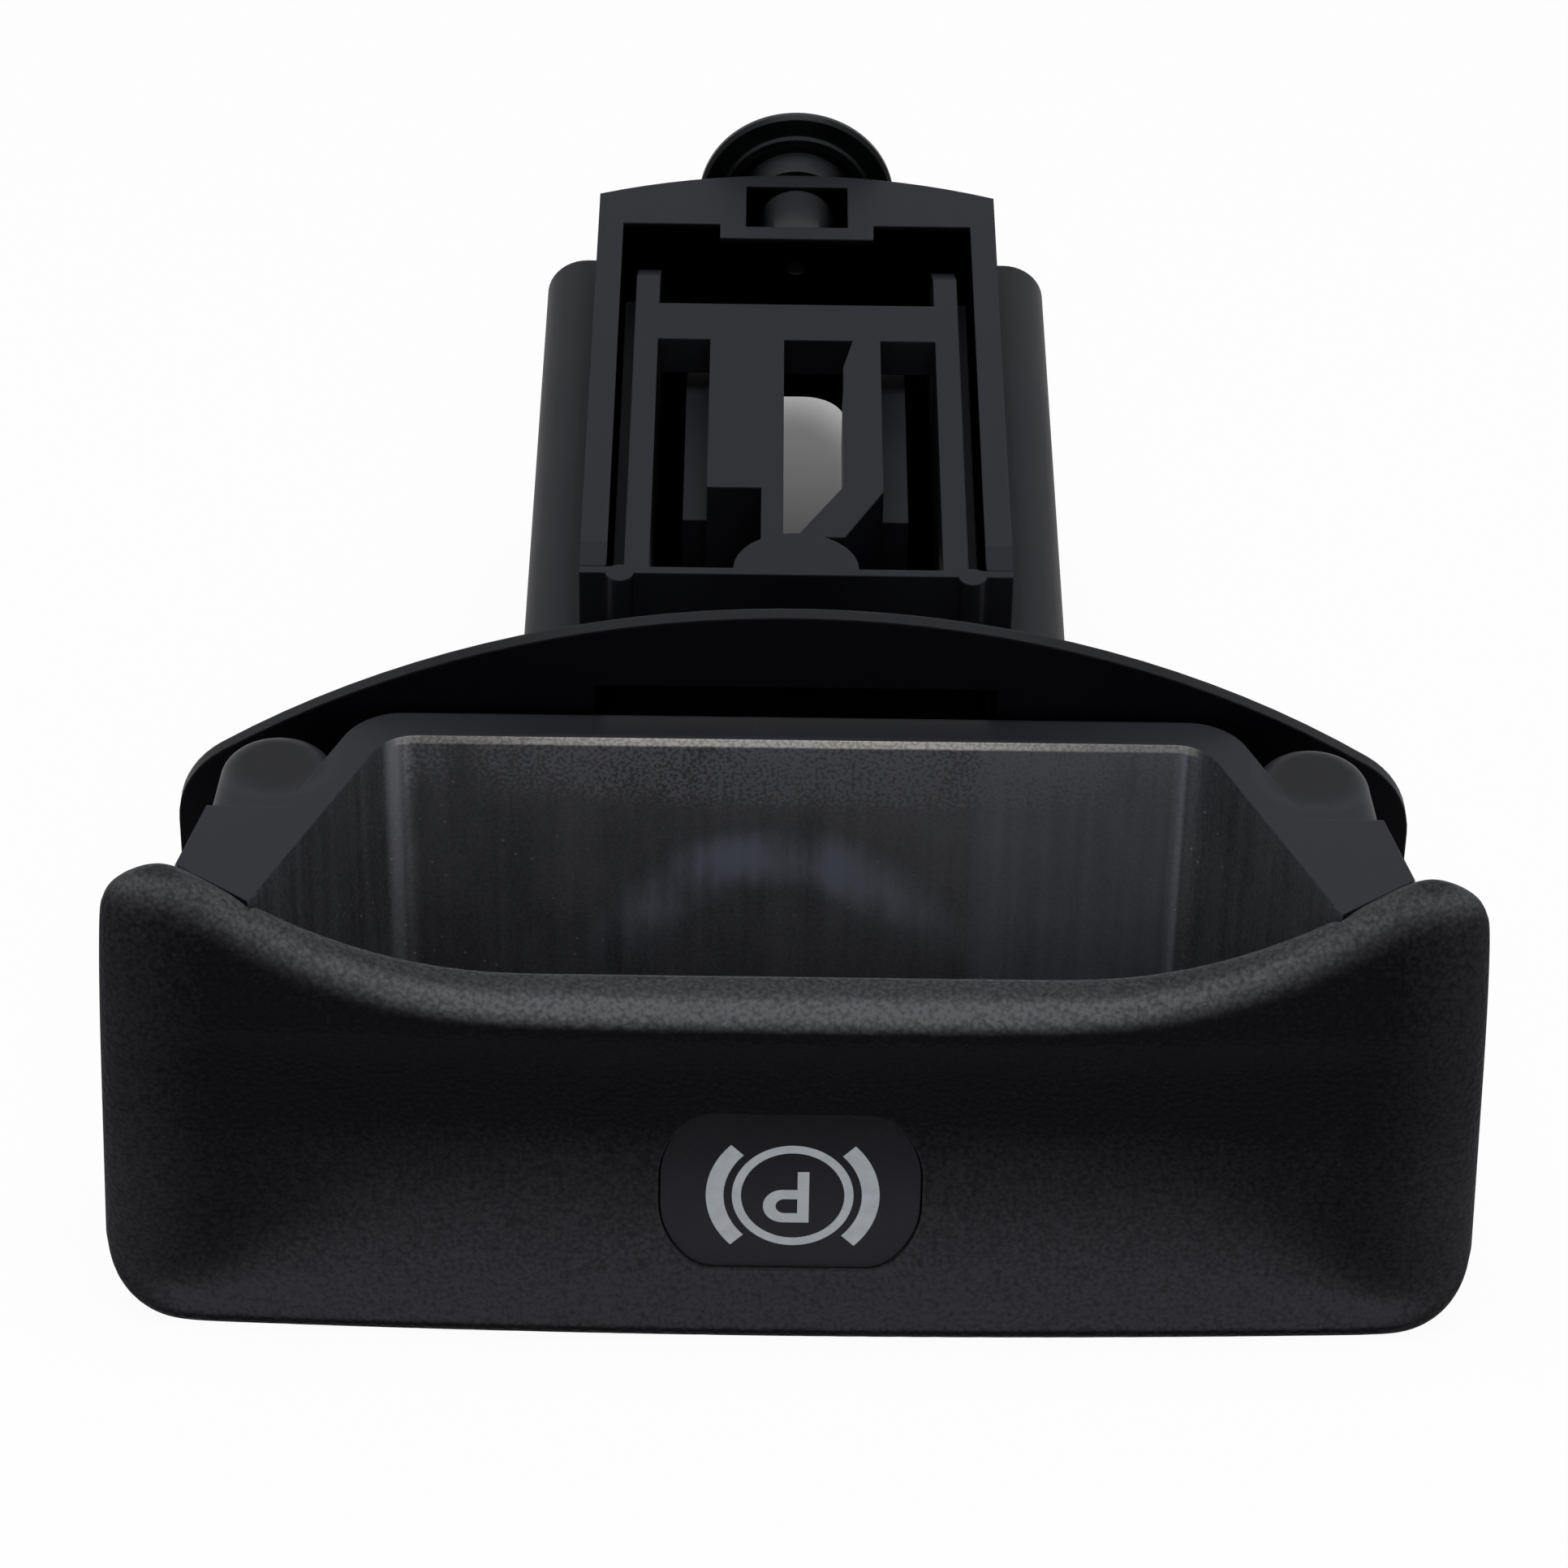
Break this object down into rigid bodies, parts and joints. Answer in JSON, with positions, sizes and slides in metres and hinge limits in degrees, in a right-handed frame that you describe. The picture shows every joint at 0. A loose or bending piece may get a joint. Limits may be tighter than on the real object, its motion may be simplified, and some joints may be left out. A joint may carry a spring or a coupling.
{
  "type": "parking brake release handle",
  "caption": "Pull handle with a scooped grained grip and finger pocket, sliding in a flanged dash guide that ends in a cable collar.",
  "frame": {"origin": "under the middle of the overall length, on the plane of the grip's lowest edge", "axes": "+X across the grip, +Y from the grip back along the guide to the cable collar, +Z towards the open side of the finger pocket"},
  "size_m": [0.0996, 0.1037, 0.0449],
  "materials": {
    "grained_plastic": "fine leather grain, matt",
    "badge_plastic": "smooth satin",
    "smooth_plastic": "smooth satin",
    "slide_plastic": "smooth satin",
    "housing_plastic": "smooth, glossy flange",
    "collar_plastic": "glossy"
  },
  "bodies": {
    "guide": {"guide_housing": "housing_plastic", "cable_collar": "collar_plastic"},
    "handle": {"grip_cover": "grained_plastic", "symbol_plate": "badge_plastic", "pocket_shell": "smooth_plastic", "slide_carriage": "slide_plastic"}
  },
  "joints": [
    {"name": "handle_pull", "type": "slide", "parent": "guide", "child": "handle", "axis": [0, -1, 0], "range_m": [0, 0.012]}
  ]
}
